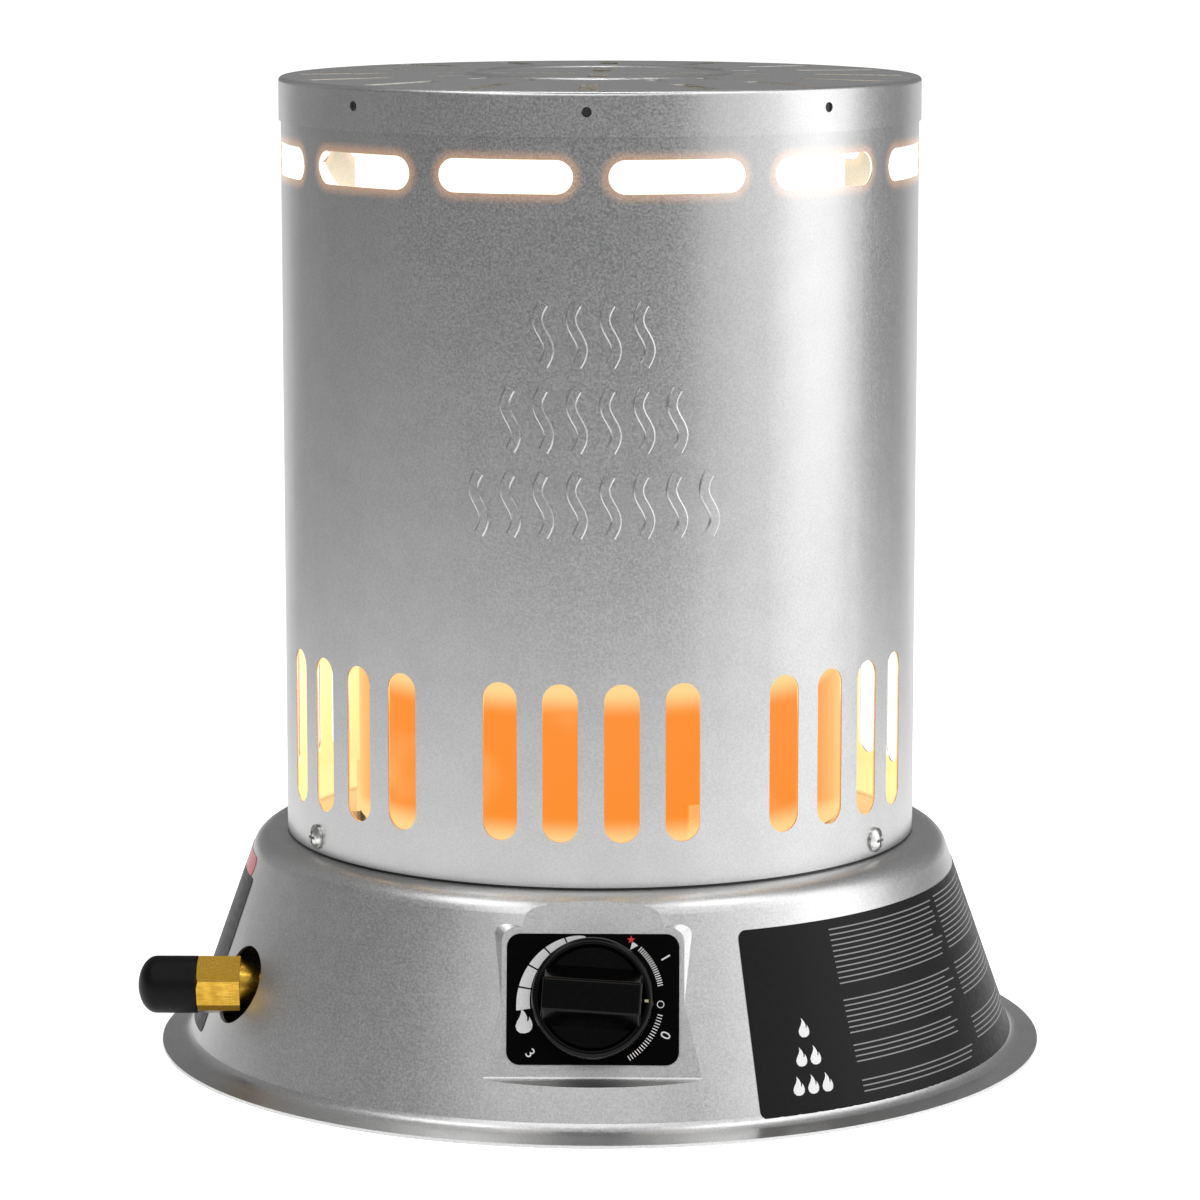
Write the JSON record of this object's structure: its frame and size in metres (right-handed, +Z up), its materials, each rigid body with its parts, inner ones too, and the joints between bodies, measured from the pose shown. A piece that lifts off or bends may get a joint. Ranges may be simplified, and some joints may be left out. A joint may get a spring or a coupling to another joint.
{
  "type": "portable propane heater",
  "caption": "Round free-standing convection gas heater: cone base with control knob and gas inlet, slotted steel shell, grilled cap and inner burner.",
  "frame": {"origin": "centre of the foot ring at floor level", "axes": "+Z up along the shell's axis; -Y towards the control knob; -X along the gas inlet"},
  "size_m": [0.3175, 0.315, 0.3458],
  "materials": {
    "galvanised_steel": "satin galvanised, fine grain",
    "burner_steel": "heat-tinted stainless",
    "liner_steel": "aluminised steel, glowing hot",
    "brass": "machined",
    "black_gloss": "gloss moulded",
    "black_enamel": "gloss black",
    "vinyl": "soft matte vinyl",
    "aluminium_tube": "drawn",
    "valve_metal": "die cast",
    "spring_steel": "bright",
    "ceramic": null,
    "lead_sleeve": "silicone sleeve",
    "piezo_case": "moulded",
    "copper": "drawn copper"
  },
  "bodies": {
    "heater": {"base_housing": "galvanised_steel", "outer_shell": "galvanised_steel", "top_grille": "galvanised_steel", "shell_screws": "spring_steel", "control_plate": "black_enamel", "valve_body": "valve_metal", "panel_nut": "brass", "piezo_unit": "piezo_case", "ignition_lead": "lead_sleeve", "spark_electrode": "ceramic", "thermocouple": "copper", "thermocouple_lead": "copper", "probe_clips": "galvanised_steel", "inlet_cup": "black_enamel", "inlet_fitting": "brass", "inlet_locknut": "brass", "inlet_tube": "aluminium_tube", "outlet_tube": "aluminium_tube", "tube_nuts": "brass", "orifice_elbow": "brass", "orifice_nozzle": "brass", "burner_bracket": "galvanised_steel", "bracket_screws": "spring_steel", "burner_tube": "burner_steel", "burner_screws": "spring_steel", "burner_head": "burner_steel", "port_plate": "burner_steel", "flame_spreader": "burner_steel", "spreader_posts": "burner_steel", "heat_shield": "galvanised_steel", "combustion_liner": "liner_steel", "liner_feet": "galvanised_steel", "top_spacers": "galvanised_steel"},
    "valve_rotor": {"valve_plug": "brass", "return_spring": "spring_steel"},
    "control_knob": {"knob": "black_gloss", "valve_stem": "brass"},
    "inlet_dust_cap": {"dust_cap": "vinyl"}
  },
  "joints": [
    {"name": "valve_turn", "type": "hinge", "parent": "heater", "child": "valve_rotor", "pos_m": [0, -0.1302, 0.04385], "axis": [0, -0.9573, 0.289], "range_deg": [0, 200]},
    {"name": "knob_push", "type": "slide", "parent": "valve_rotor", "child": "control_knob", "axis": [0, 0.9573, -0.289], "range_m": [0, 0.003], "stiffness_N_per_m": 900, "springref_m": -0.002, "deforming": ["return_spring"]},
    {"name": "dust_cap_pull", "type": "slide", "parent": "heater", "child": "inlet_dust_cap", "axis": [-1, 0, 0], "range_m": [0, 0.03]}
  ]
}
